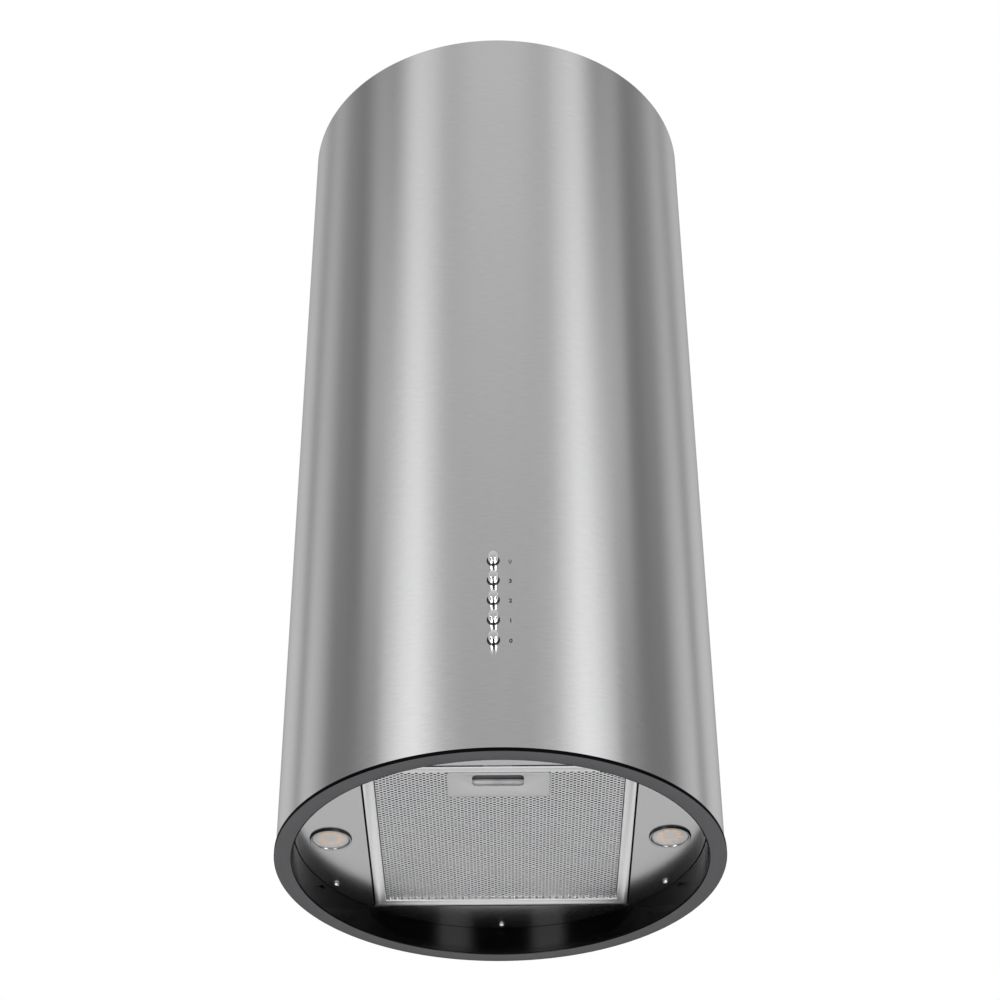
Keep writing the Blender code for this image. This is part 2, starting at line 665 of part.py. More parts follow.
# --------------------------------------------------------------- electric box
tray = minus(
    block(-42 * MM, 42 * MM, 146.4 * MM, 172 * MM, 300 * MM, 384 * MM),
    block(-40 * MM, 40 * MM, 148.4 * MM, 180 * MM, 302 * MM, 382 * MM),
)
tray = minus(tray, rod(5.2 * MM, 370 * MM, 400 * MM, 16, (20 * MM, 160 * MM, 0.0)))
finish("terminal_box", tray, "black_plastic", (0.0, 146.4 * MM, 342 * MM), smooth=False)
lid = block(-42 * MM, 42 * MM, 172.3 * MM, 174.3 * MM, 300 * MM, 384 * MM)
finish("terminal_box_lid", rounded(lid, 0.6 * MM, 1), "black_plastic", (0.0, 173 * MM, 342 * MM), smooth=False)
gland = turned(
    [
        (3.6 * MM, 398 * MM), (7.0 * MM, 396.5 * MM), (8.2 * MM, 388 * MM), (8.2 * MM, 384.4 * MM),
        (4.9 * MM, 384.4 * MM), (4.9 * MM, 376 * MM), (3.6 * MM, 376 * MM),
    ],
    16, (20 * MM, 160 * MM, 0.0), closed=True,
)
finish("cable_gland", gland, "grey_plastic", (20 * MM, 160 * MM, 384.4 * MM))
cap_at = (72 * MM, 164 * MM, 0.0)
capacitor = turned(
    [
        (0.0, 372 * MM), (12.5 * MM, 372 * MM), (14.0 * MM, 370 * MM), (14.0 * MM, 312 * MM),
        (12.5 * MM, 310 * MM), (0.0, 310 * MM),
    ],
    24, cap_at,
)
finish("motor_capacitor", capacitor, "white_plastic", (cap_at[0], cap_at[1], 341 * MM))

# -------------------------------------------------------------- grease filter
hinge = pivot("filter_hinge", PIVOT)
Z0 = PANEL_Z
frame = sheet(
    [
        rectangle(-FILTER_X, FILTER_Y0, FILTER_X, FILTER_Y1),
        rectangle(-106 * MM, -116 * MM, 106 * MM, 121.5 * MM),
    ],
    Z0, Z0 + FILTER_T,
)
for x in (-70 * MM, 70 * MM):
    frame = plus(frame, block(x - 9 * MM, x + 9 * MM, 128 * MM, 141 * MM, 28.0 * MM, 29.2 * MM))
frame = minus(frame, block(-16 * MM, 13 * MM, -140 * MM, -110 * MM, 27.7 * MM, 30.2 * MM))
finish("filter_frame", frame, "aluminium", PIVOT, hinge, smooth=False)

mesh_sheet = sheet(
    [
        rectangle(-105.7 * MM, -115.7 * MM, 105.7 * MM, 121.2 * MM),
        rectangle(-34 * MM, -113.9 * MM, 31.4 * MM, -74.4 * MM),
    ],
    28.2 * MM, 30.2 * MM,
)
mesh_sheet = minus(mesh_sheet, block(-16 * MM, 13 * MM, -120 * MM, -110 * MM, 27 * MM, 32 * MM))
finish("filter_mesh", mesh_sheet, "aluminium", PIVOT, hinge, smooth=False)

plate = sheet(
    [
        rectangle(HANDLE_X0, HANDLE_Y0, HANDLE_X1, HANDLE_Y1, 2.0 * MM, 3),
        rectangle(SLOT_X0, SLOT_Y0, SLOT_X1, SLOT_Y1, 4.0 * MM, 4),
    ],
    26.2 * MM, 27.6 * MM,
)
plate = plus(plate, block(-6 * MM, 3.4 * MM, -77.4 * MM, -75.8 * MM, 27.0 * MM, 33.0 * MM))
finish("filter_handle_plate", plate, "aluminium", PIVOT, hinge)

LATCH_Y = -101.0 * MM
latch_axis = pivot("latch_slide", (-1.3 * MM, LATCH_Y, 29.0 * MM))
latch = sheet(
    [
        rectangle(-30 * MM, -112.8 * MM, 27.4 * MM, -90.0 * MM, 1.5 * MM, 2),
        rectangle(-23.6 * MM, -111.2 * MM, 21.0 * MM, -101.2 * MM),
    ],
    28.0 * MM, 29.8 * MM,
)
latch = plus(latch, block(-13.3 * MM, 10.7 * MM, -127.9 * MM, -111.8 * MM, 28.1 * MM, 29.7 * MM))
latch = plus(latch, block(-7 * MM, 4.4 * MM, -92.2 * MM, -90.4 * MM, 29.0 * MM, 33.0 * MM))
finish("latch_slider", latch, "grey_plastic", (-1.3 * MM, LATCH_Y, 29.0 * MM), latch_axis, smooth=False)

coil = []
TURNS, PER_TURN = 5, 10
for i in range(TURNS * PER_TURN + 1):
    t = i / (TURNS * PER_TURN)
    a = math.tau * TURNS * t
    coil.append((-1.3 * MM + 1.7 * MM * math.cos(a), (-89.4 + 11.2 * t) * MM, 30.9 * MM + 1.7 * MM * math.sin(a)))
finish("latch_spring", wire(coil, 0.35 * MM, 1), "spring_steel", (-1.3 * MM, LATCH_Y, 30.9 * MM), hinge)
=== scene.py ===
"""Looks for the island range hood: meshes, materials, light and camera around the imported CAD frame."""
import json
import math

import bmesh
import bpy
from mathutils import Matrix, Vector


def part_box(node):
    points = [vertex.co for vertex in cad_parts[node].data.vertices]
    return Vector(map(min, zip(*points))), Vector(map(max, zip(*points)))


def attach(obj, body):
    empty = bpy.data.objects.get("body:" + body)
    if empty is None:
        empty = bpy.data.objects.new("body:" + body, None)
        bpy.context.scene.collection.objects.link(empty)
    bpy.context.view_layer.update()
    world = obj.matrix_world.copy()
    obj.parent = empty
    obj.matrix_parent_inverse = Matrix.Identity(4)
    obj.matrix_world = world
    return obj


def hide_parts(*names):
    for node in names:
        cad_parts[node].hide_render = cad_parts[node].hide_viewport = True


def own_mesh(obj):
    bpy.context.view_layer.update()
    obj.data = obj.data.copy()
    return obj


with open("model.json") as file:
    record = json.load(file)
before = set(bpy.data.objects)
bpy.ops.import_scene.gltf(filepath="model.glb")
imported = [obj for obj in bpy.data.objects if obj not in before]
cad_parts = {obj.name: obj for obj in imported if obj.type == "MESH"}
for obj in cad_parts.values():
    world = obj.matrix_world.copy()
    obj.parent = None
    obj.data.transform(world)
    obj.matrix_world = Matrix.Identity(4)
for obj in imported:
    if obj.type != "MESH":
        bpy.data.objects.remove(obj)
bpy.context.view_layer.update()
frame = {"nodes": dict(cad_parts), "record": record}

MM = 0.001
R = 195.0 * MM
PANEL_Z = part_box("base_panel")[0].z
RING_LO, RING_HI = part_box("bottom_ring")
RING_R = RING_HI.x
TUBE_LO, TUBE_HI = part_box("outer_tube")
FILT_LO, FILT_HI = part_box("filter_frame")

# ------------------------------------------------------------------ helpers


def add(name, mesh, body, *mats, slot=None, replaces=()):
    ob = bpy.data.objects.new(name, mesh)
    bpy.context.scene.collection.objects.link(ob)
    mesh.name = name
    picked = [p.material_index for p in mesh.polygons] if isinstance(mesh, bpy.types.Mesh) else []
    mesh.materials.clear()
    for m in mats:
        mesh.materials.append(m)
    for p, index in zip(getattr(mesh, "polygons", ()), picked):
        p.material_index = min(index, len(mats) - 1)
    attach(ob, body)
    if replaces:
        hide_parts(*replaces)
    return ob


def smooth(mesh, angle=30.0):
    mesh.shade_smooth()
    mesh.set_sharp_from_angle(angle=math.radians(angle))
    return mesh


def mesh_of(ob):
    """The evaluated mesh of a scratch object, welded, in world space; the object goes."""
    bpy.context.view_layer.update()
    graph = bpy.context.evaluated_depsgraph_get()
    mesh = bpy.data.meshes.new_from_object(ob.evaluated_get(graph))
    mesh.transform(ob.matrix_world)
    bpy.data.objects.remove(ob, do_unlink=True)
    bm = bmesh.new()
    bm.from_mesh(mesh)
    bmesh.ops.remove_doubles(bm, verts=bm.verts, dist=2e-6)
    bmesh.ops.recalc_face_normals(bm, faces=bm.faces)
    bm.to_mesh(mesh)
    bm.free()
    return mesh


def scratch(mesh):
    ob = bpy.data.objects.new("scratch", mesh)
    bpy.context.scene.collection.objects.link(ob)
    return ob


def cut(mesh, *others, operation="DIFFERENCE"):
    for other in others:
        ob, tool = scratch(mesh), scratch(other)
        mod = ob.modifiers.new("cut", "BOOLEAN")
        mod.operation, mod.solver, mod.object = operation, "EXACT", tool
        mesh = mesh_of(ob)
        bpy.data.objects.remove(tool, do_unlink=True)
    return mesh


def lathe(profile, steps, centre=(0, 0, 0), axis="Z", closed=True):
    """Revolves (radius, height) points. A profile that ends on the axis is capped there."""
    bm = bmesh.new()
    rings = []
    for r, h in profile:
        if r < 1e-9:
            rings.append([bm.verts.new((0, 0, h))])
        else:
            rings.append([
                bm.verts.new((r * math.cos(math.tau * k / steps), r * math.sin(math.tau * k / steps), h))
                for k in range(steps)
            ])
    pairs = list(zip(rings, rings[1:]))
    if closed:
        pairs.append((rings[-1], rings[0]))
    for a, b in pairs:
        for k in range(steps):
            n = (k + 1) % steps
            if len(a) == 1 and len(b) == 1:
                break
            if len(a) == 1:
                bm.faces.new((a[0], b[n], b[k]))
            elif len(b) == 1:
                bm.faces.new((a[k], a[n], b[0]))
            else:
                bm.faces.new((a[k], a[n], b[n], b[k]))
    bmesh.ops.recalc_face_normals(bm, faces=bm.faces)
    turn = {"Z": Matrix.Identity(4), "X": Matrix.Rotation(math.radians(90), 4, "Y"),
            "Y": Matrix.Rotation(math.radians(-90), 4, "X")}[axis]
    bmesh.ops.transform(bm, matrix=Matrix.Translation(centre) @ turn, verts=bm.verts)
    mesh = bpy.data.meshes.new("lathe")
    bm.to_mesh(mesh)
    bm.free()
    return mesh


def block(x0, x1, y0, y1, z0, z1, bevel=0.0, segments=2):
    bm = bmesh.new()
    bmesh.ops.create_cube(bm, size=1.0)
    bmesh.ops.transform(
        bm, verts=bm.verts,
        matrix=Matrix.Translation(((x0 + x1) / 2, (y0 + y1) / 2, (z0 + z1) / 2))
        @ Matrix.Diagonal((x1 - x0, y1 - y0, z1 - z0, 1)),
    )
    if bevel:
        bmesh.ops.bevel(bm, geom=list(bm.edges), offset=bevel, segments=segments, affect="EDGES", profile=0.5)
    mesh = bpy.data.meshes.new("block")
    bm.to_mesh(mesh)
    bm.free()
    return mesh


def joined(*meshes):
    """Separate closed shells in one mesh, each keeping its material index."""
    bm = bmesh.new()
    for m in meshes:
        bm.from_mesh(m)
    out = bpy.data.meshes.new("joined")
    bm.to_mesh(out)
    bm.free()
    return out


def plate(outlines, z0, z1, bevel=0.0, segments=2):
    """A flat filled outline with holes, from z0 to z1, its sharp edges rounded."""
    curve = bpy.data.curves.new("plate", "CURVE")
    curve.dimensions, curve.fill_mode, curve.extrude = "2D", "BOTH", (z1 - z0) / 2
    for points in outlines:
        line = curve.splines.new("POLY")
        line.points.add(len(points) - 1)
        for p, (x, y) in zip(line.points, points):
            p.co = (x, y, 0, 1)
        line.use_cyclic_u = True
    ob = bpy.data.objects.new("scratch", curve)
    bpy.context.scene.collection.objects.link(ob)
    ob.matrix_world = Matrix.Translation((0, 0, (z0 + z1) / 2))
    mesh = mesh_of(ob)
    if bevel:
        ob = scratch(mesh)
        mod = ob.modifiers.new("bevel", "BEVEL")
        mod.width, mod.segments, mod.limit_method, mod.angle_limit = bevel, segments, "ANGLE", math.radians(60)
        mesh = mesh_of(ob)
    return mesh


def circle(cx, cy, r, n):
    return [(cx + r * math.cos(math.tau * i / n), cy + r * math.sin(math.tau * i / n)) for i in range(n)]


def rectangle(x0, y0, x1, y1, r=0.0, n=6):
    if r <= 0:
        return [(x0, y0), (x1, y0), (x1, y1), (x0, y1)]
    out = []
    for cx, cy, s in ((x1 - r, y0 + r, -90), (x1 - r, y1 - r, 0), (x0 + r, y1 - r, 90), (x0 + r, y0 + r, 180)):
        for i in range(n + 1):
            a = math.radians(s + 90 * i / n)
            out.append((cx + r * math.cos(a), cy + r * math.sin(a)))
    return out


# ---------------------------------------------------------------- materials


class Tree:
    """A material with a Principled shader and a few helpers to wire textures."""

    def __init__(self, name, rough=0.4, metal=0.0, **sockets):
        self.mat = bpy.data.materials.new(name)
        self.mat.use_nodes = True
        self.nt = self.mat.node_tree
        self.nt.nodes.clear()
        self.out = self.node("ShaderNodeOutputMaterial")
        self.bsdf = self.node("ShaderNodeBsdfPrincipled")
        self.link(self.bsdf.outputs[0], self.out.inputs[0])
        self.bsdf.inputs["Roughness"].default_value = rough
        self.bsdf.inputs["Metallic"].default_value = metal
        for key, value in sockets.items():
            self.bsdf.inputs[key.replace("_", " ")].default_value = value
        self.coord = self.node("ShaderNodeTexCoord").outputs["Object"]

    def node(self, kind, **props):
        n = self.nt.nodes.new(kind)
        for k, v in props.items():
            setattr(n, k, v)
        return n

    def link(self, a, b):
        self.nt.links.new(a, b)

    def math(self, op, a, b=None):
        n = self.node("ShaderNodeMath", operation=op)
        for i, v in enumerate((a, b)):
            if v is None:
                continue
            if isinstance(v, (int, float)):
                n.inputs[i].default_value = v
            else:
                self.link(v, n.inputs[i])
        return n.outputs[0]

    def scaled(self, scale, source=None, rotate=(0, 0, 0)):
        n = self.node("ShaderNodeMapping")
        n.inputs["Scale"].default_value = scale
        n.inputs["Rotation"].default_value = rotate
        self.link(source or self.coord, n.inputs["Vector"])
        return n.outputs[0]

    def round_coord(self):
        """(arc length round Z, height, 0) so that a grain follows the cylinder; its seam is at the back."""
        sep = self.node("ShaderNodeSeparateXYZ")
        self.link(self.coord, sep.inputs[0])
        x, y, z = sep.outputs
        angle = self.math("ARCTAN2", x, self.math("MULTIPLY", y, -1.0))
        com = self.node("ShaderNodeCombineXYZ")
        self.link(self.math("MULTIPLY", angle, R), com.inputs[0])
        self.link(z, com.inputs[1])
        return com.outputs[0]

    def noise(self, scale, detail=3.0, rough=0.5, source=None):
        n = self.node("ShaderNodeTexNoise")
        n.inputs["Scale"].default_value = scale
        n.inputs["Detail"].default_value = detail
        n.inputs["Roughness"].default_value = rough
        self.link(source or self.coord, n.inputs["Vector"])
        return n.outputs["Fac"]

    def span(self, fac, low, high, from_low=0.3, from_high=0.7):
        n = self.node("ShaderNodeMapRange")
        n.inputs["From Min"].default_value = from_low
        n.inputs["From Max"].default_value = from_high
        n.inputs["To Min"].default_value = low
        n.inputs["To Max"].default_value = high
        self.link(fac, n.inputs["Value"])
        return n.outputs[0]

    def colour(self, fac, a, b, low=0.35, high=0.65):
        n = self.node("ShaderNodeValToRGB")
        n.color_ramp.elements[0].position, n.color_ramp.elements[1].position = low, high
        n.color_ramp.elements[0].color = (*a, 1)
        n.color_ramp.elements[1].color = (*b, 1)
        self.link(fac, n.inputs[0])
        self.link(n.outputs[0], self.bsdf.inputs["Base Color"])
        return n.outputs[0]

    def rough(self, fac, low, high):
        self.link(self.span(fac, low, high), self.bsdf.inputs["Roughness"])

    def bump(self, fac, strength, distance):
        n = self.node("ShaderNodeBump")
        n.inputs["Strength"].default_value = strength
        n.inputs["Distance"].default_value = distance
        self.link(fac, n.inputs["Height"])
        self.link(n.outputs[0], self.bsdf.inputs["Normal"])
        return n


def brushed_round():
    """Stainless steel with its grain running round the cylinder."""
    t = Tree("tube_brushed_steel", 0.19, 1.0, Anisotropic=0.9, Anisotropic_Rotation=0.25)
    tangent = t.node("ShaderNodeTangent", direction_type="RADIAL", axis="Z")
    t.link(tangent.outputs[0], t.bsdf.inputs["Tangent"])
    wrap = t.round_coord()
    fine = t.noise(1.0, 3.0, 0.6, t.scaled((110, 2600, 1), wrap))
    streak = t.noise(1.0, 2.0, 0.5, t.scaled((60, 1500, 1), wrap))
    broad = t.noise(1.0, 2.0, 0.5, t.scaled((5, 9, 1), wrap))
    grain = t.math("ADD", t.math("MULTIPLY", fine, 0.6), t.math("MULTIPLY", streak, 0.4))
    t.colour(grain, (0.578, 0.578, 0.583), (0.632, 0.632, 0.635), 0.38, 0.62)
    t.rough(t.math("ADD", t.math("MULTIPLY", grain, 0.7), t.math("MULTIPLY", broad, 0.3)), 0.165, 0.21)
    t.bump(grain, 0.085, 0.00004)
    return t.mat


def brushed_flat(name, base=(0.60, 0.60, 0.605), along="X", rough=(0.26, 0.36), grain_scale=900, metal=1.0, spread=0.02, aniso=0.35):
    """Satin steel or aluminium sheet with a straight grain."""
    t = Tree(name, 0.3, metal, Anisotropic=aniso)
    if along in "XY":
        tangent = t.node("ShaderNodeTangent", direction_type="RADIAL", axis=along)
        t.link(tangent.outputs[0], t.bsdf.inputs["Tangent"])
    stretch = {"X": (30, grain_scale, grain_scale), "Y": (grain_scale, 30, grain_scale), "Z": (grain_scale, grain_scale, 30)}[along]
    fine = t.noise(1.0, 3.0, 0.55, t.scaled(stretch))
    cloud = t.noise(28.0, 3.0, 0.5)
    mix = t.math("ADD", t.math("MULTIPLY", fine, 0.7), t.math("MULTIPLY", cloud, 0.3))
    t.colour(mix, tuple(c - spread for c in base), tuple(c + spread for c in base))
    t.rough(mix, *rough)
    t.bump(fine, 0.018, 0.00004)
    return t.mat


def plastic(name, base, rough=(0.42, 0.55), grain=2600.0, bump=0.12, spec=0.5, spread=0.12):
    """Moulded plastic or enamel: fine texture, slight mottling."""
    t = Tree(name, rough[0], 0.0, Specular_IOR_Level=spec)
    fine = t.noise(grain, 2.0, 0.5)
    cloud = t.noise(45.0, 3.0, 0.6)
    t.colour(cloud, tuple(c * (1 - spread) for c in base), tuple(min(1, c * (1 + spread)) for c in base))
    t.rough(t.math("ADD", t.math("MULTIPLY", fine, 0.5), t.math("MULTIPLY", cloud, 0.5)), *rough)
    t.bump(fine, bump, 0.00004)
    return t.mat


def polished(name, base=(0.80, 0.80, 0.81), rough=(0.05, 0.13), metal=1.0):
    """Plated or ground metal with faint polishing marks."""
    t = Tree(name, rough[0], metal)
    marks = t.noise(1.0, 3.0, 0.6, t.scaled((300, 300, 2400)))
    cloud = t.noise(120.0, 2.0, 0.5)
    t.colour(cloud, tuple(c * 0.93 for c in base), base)
    t.rough(marks, *rough)
    t.bump(marks, 0.05, 0.00002)
    return t.mat


def galvanised(name, base=(0.50, 0.515, 0.53)):
    """Zinc-coated sheet with faint spangle."""
    t = Tree(name, 0.45, 1.0)
    cells = t.node("ShaderNodeTexVoronoi", feature="F1")
    cells.inputs["Scale"].default_value = 90.0
    t.link(t.coord, cells.inputs["Vector"])
    sep = t.node("ShaderNodeSeparateColor")
    t.link(cells.outputs["Color"], sep.inputs[0])
    fine = t.noise(700.0, 2.0, 0.5)
    mix = t.math("ADD", t.math("MULTIPLY", sep.outputs[0], 0.6), t.math("MULTIPLY", fine, 0.4))
    t.colour(mix, tuple(c * 0.86 for c in base), tuple(c * 1.12 for c in base), 0.15, 0.85)
    t.rough(mix, 0.36, 0.52)
    t.bump(fine, 0.10, 0.00005)
    return t.mat


def glassy(name):
    """Thin moulded lamp glass, slightly milky, with faint ripple."""
    t = Tree(name, 0.05, 0.0, IOR=1.45, Alpha=0.22)
    ripple = t.noise(400.0, 2.0, 0.5)
    t.colour(ripple, (0.86, 0.87, 0.87), (0.95, 0.95, 0.95))
    t.rough(ripple, 0.04, 0.12)
    t.bump(ripple, 0.08, 0.00005)
    return t.mat


TUBE = brushed_round()
PANEL = brushed_flat("panel_satin_steel", (0.62, 0.62, 0.622), "X", (0.175, 0.205), 1900, spread=0.014, aniso=0.5)
RING_FACE = plastic("ring_black_enamel", (0.053, 0.053, 0.057), (0.34, 0.46), 1800.0, 0.10, 0.55, 0.10)
# painted shade: a near-black copy of the ring's enamel, for the shadow gap at the outer edge under the tube
RING_EDGE_SHADE = plastic("ring_black_edge_painted_shade", (0.0012, 0.0012, 0.0012), (0.45, 0.60), 1800.0, 0.10, 0.03, 0.10)
# painted shade: a near-black glossy copy of the ring's enamel for its inner wall, darker than the face for the shade
# in the recess
RING_WALL_SHADE = plastic("ring_black_gloss_painted_shade", (0.0012, 0.0012, 0.0014), (0.11, 0.17), 900.0, 0.03, 0.10, 0.10)
FRAME_AL = brushed_flat("filter_frame_aluminium", (0.93, 0.93, 0.933), "X", (0.30, 0.38), 1500, spread=0.015)
MESH_AL = brushed_flat("filter_mesh_aluminium", (0.90, 0.90, 0.905), "Y", (0.30, 0.42), 900)
# painted shade: the rear layer's aluminium is darker than the front layer's, so the holes look darker
MESH_REAR_SHADE = brushed_flat("filter_rear_layer_painted_shade", (0.62, 0.62, 0.625), "Y", (0.38, 0.50), 900)
# painted shade: the middle layer's aluminium is near-black, so the holes look dark
MESH_BACK_SHADE = brushed_flat("filter_inner_layers_painted_shade", (0.045, 0.045, 0.048), "Y", (0.45, 0.60), 900)
HANDLE_AL = brushed_flat("handle_plate_aluminium", (0.65, 0.65, 0.653), "X", (0.34, 0.42), 1700, spread=0.012)
CHROME = polished("button_chrome", (0.83, 0.83, 0.84), (0.05, 0.12))
SCREW = polished("screw_plating", (0.72, 0.72, 0.73), (0.14, 0.26))
BEZEL = polished("lamp_trim", (0.46, 0.46, 0.47), (0.12, 0.22))
SHAFT = polished("ground_steel", (0.62, 0.62, 0.64), (0.14, 0.26))
LENS = glassy("lamp_glass")
LAMP_WHITE = plastic("lamp_board", (0.47, 0.47, 0.46), (0.35, 0.5), spread=0.03)
LAMP_CHIP = plastic("lamp_chip_phosphor", (0.82, 0.52, 0.29), (0.25, 0.4), spread=0.05)
BLACK_PL = plastic("black_plastic", (0.022, 0.022, 0.023), (0.40, 0.55))
# black collar plastic for the button collars; also painted shade on the lamp trims' outer walls
COLLAR_AND_SHADE = plastic("collar_black_and_painted_shade", (0.014, 0.014, 0.015), (0.30, 0.42))
GREY_PL = plastic("grey_plastic", (0.40, 0.405, 0.41), (0.42, 0.56))
WHITE_PL = plastic("white_plastic", (0.78, 0.78, 0.75), (0.42, 0.56), spread=0.04)
LATCH_PL = plastic("latch_plastic", (0.46, 0.46, 0.465), (0.42, 0.56))
# painted shade: a dark grey colour for the shade seen through the handle's slot
POCKET_SHADE = plastic("latch_pocket_painted_shade", (0.055, 0.055, 0.057), (0.42, 0.56))
INK = plastic("printed_ink", (0.010, 0.010, 0.010), (0.35, 0.5))
ZINC = galvanised("zinc_sheet")

CARRIED = {
    "zinc_sheet": ZINC, "black_plastic": BLACK_PL, "grey_plastic": GREY_PL, "white_plastic": WHITE_PL,
    "shaft_steel": SHAFT, "tube_steel": TUBE, "ring_black": RING_FACE, "panel_steel": PANEL,
    "screw_steel": SCREW, "lamp_bezel": BEZEL, "lamp_lens": LENS, "button_chrome": CHROME,
    "filter_frame": FRAME_AL, "filter_mesh": MESH_AL, "filter_plate": HANDLE_AL, "latch_grey": LATCH_PL,
}
for entry in frame["record"]["subparts"]:
    ob = frame["nodes"][entry["node"]]
    for i in range(max(1, len(ob.material_slots))):
        if not ob.material_slots:
            ob.data.materials.append(CARRIED[entry["material_slot"]])
        else:
            ob.material_slots[i].material = CARRIED[entry["material_slot"]]

# --------------------------------------------------------------- outer tube
BUTTONS = [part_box(f"button_cap_{i}") for i in range(1, 6)]
BX = (BUTTONS[0][0].x + BUTTONS[0][1].x) / 2
BZ = [(lo.z + hi.z) / 2 for lo, hi in BUTTONS]
wall = 1.0 * MM
zb, zt = 3.8 * MM, TUBE_HI.z
tube = lathe(
    [
        (R - 0.25 * MM, zt), (R, zt - 0.25 * MM), (R, zb + 0.25 * MM), (R - 0.25 * MM, zb),
        (R - wall + 0.25 * MM, zb), (R - wall, zb + 0.25 * MM), (R - wall, zt - 0.25 * MM), (R - wall + 0.25 * MM, zt),
    ],
    256,
)
tube = cut(tube, *[lathe([(0, 0.02), (5.6 * MM, 0.02), (5.6 * MM, -0.02), (0, -0.02)], 40, (BX, -R, z), "Y", False) for z in BZ])
smooth(tube, 25.0)
# exact round normals, so the reflections stay clean where the holes cut the wall
normals = []
for poly in tube.polygons:
    n = poly.normal
    for li in poly.loop_indices:
        v = tube.vertices[tube.loops[li].vertex_index].co
        flat = math.hypot(v.x, v.y)
        radial = Vector((v.x / flat, v.y / flat, 0))
        d = n.dot(radial)
        if abs(n.z) < 0.2 and abs(d) > 0.97:
            normals.append(radial if d > 0 else -radial)
        else:
            normals.append(n.copy())
tube.normals_split_custom_set([tuple(n) for n in normals])
add("tube_shell", tube, "root", TUBE, slot="tube_steel", replaces=("outer_tube",))

# -------------------------------------------------------------- bottom ring
RI = 180.6 * MM
zf = RING_HI.z
SEG = 256
top = 3.4 * MM
ring_profile = [
    (RING_R - 0.3 * MM, top), (RING_R, top - 0.3 * MM), (RING_R, 0.35 * MM), (RING_R - 0.12 * MM, 0.10 * MM),
    (RING_R - 0.4 * MM, 0.0), (RI + 1.5 * MM, 0.0), (RI + 1.2 * MM, 0.12 * MM), (RI + 1.0 * MM, 0.9 * MM),
    (RI + 0.45 * MM, 0.9 * MM), (RI + 0.3 * MM, 0.5 * MM), (RI, 0.8 * MM), (RI, 27.8 * MM), (168.5 * MM, 27.8 * MM),
    (168.5 * MM, zf), (RI + 1.2 * MM, zf), (RI + 1.2 * MM, top),
]
ring = lathe(ring_profile, SEG)
ring = cut(ring, block(-119.6 * MM, 119.6 * MM, -131 * MM, 134.4 * MM, 26.8 * MM, 40 * MM))
smooth(ring, 40.0)
# painted shade: index 1 gives the ring's outer edge and the flange's sides a near-black copy of the enamel
for poly in ring.polygons:
    c = poly.center
    out = math.hypot(c.x, c.y)
    if out > RING_R - 0.35 * MM or (out > RI + 1.15 * MM and c.z > 1.0 * MM and c.z < zf - 0.1 * MM):
        poly.material_index = 1
    elif out < RI + 1.45 * MM:
        # painted shade: index 2 gives the inner wall the near-black glossy copy of the enamel
        poly.material_index = 2
    elif c.z > 1.0 * MM:
        poly.material_index = 1
    else:
        poly.material_index = 0
add("ring_trim", ring, "root", RING_FACE, RING_EDGE_SHADE, RING_WALL_SHADE, slot="ring_black", replaces=("bottom_ring",))

# --------------------------------------------------------------- base panel
LAMP_X = 148.6 * MM
OX = 117.3 * MM
OY0, OY1 = -127.2 * MM, 133.6 * MM
SCREWS = [((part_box(f"panel_screw_{i}")[0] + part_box(f"panel_screw_{i}")[1]) / 2) for i in range(1, 7)]
panel = plate(
    [circle(0, 0, 180.0 * MM, 256), rectangle(-OX, OY0, OX, OY1, 0.8 * MM, 3)]
    + [circle(s * LAMP_X, 0, 18.6 * MM, 72) for s in (-1, 1)]
    + [circle(c.x, c.y, 2.0 * MM, 20) for c in SCREWS],
    PANEL_Z, PANEL_Z + 1.2 * MM, 0.25 * MM, 2,
)
lips = [
    block(min(a, b), max(a, b), -124 * MM, 128 * MM, PANEL_Z + 0.5 * MM, PANEL_Z + 12 * MM, 0.2 * MM, 1)
    for a, b in ((117.6 * MM, 118.8 * MM), (-117.6 * MM, -118.8 * MM))
]
panel = cut(panel, *lips, operation="UNION")
smooth(panel, 35.0)
add("panel_plate", panel, "root", PANEL, slot="panel_steel", replaces=("base_panel",))

# ------------------------------------------------------------ panel screws
for i, c in enumerate(SCREWS, 1):
    h = PANEL_Z - 0.3 * MM
    head = lathe(
        [
            (0, 33.4 * MM), (1.1 * MM, 33.4 * MM), (1.5 * MM, 32.7 * MM), (1.5 * MM, h), (2.75 * MM, h),
            (2.9 * MM, h - 0.15 * MM), (2.9 * MM, h - 0.7 * MM), (2.65 * MM, h - 1.25 * MM), (2.1 * MM, h - 1.7 * MM),
            (1.2 * MM, h - 1.98 * MM), (0, h - 2.05 * MM),
        ],
        32, (c.x, c.y, 0), "Z", False,
    )
    turn = Matrix.Translation((c.x, c.y, 0)) @ Matrix.Rotation(0.5 + i * 0.7, 4, "Z")
    for w, l in ((0.28, 1.35), (1.35, 0.28)):
        slot_cut = block(-l * MM, l * MM, -w * MM, w * MM, h - 3 * MM, h - 0.9 * MM)
        slot_cut.transform(turn)
        head = cut(head, slot_cut)
    smooth(head, 30.0)
    add(f"screw_{i}", head, "root", SCREW, slot="screw_steel", replaces=(f"panel_screw_{i}",))

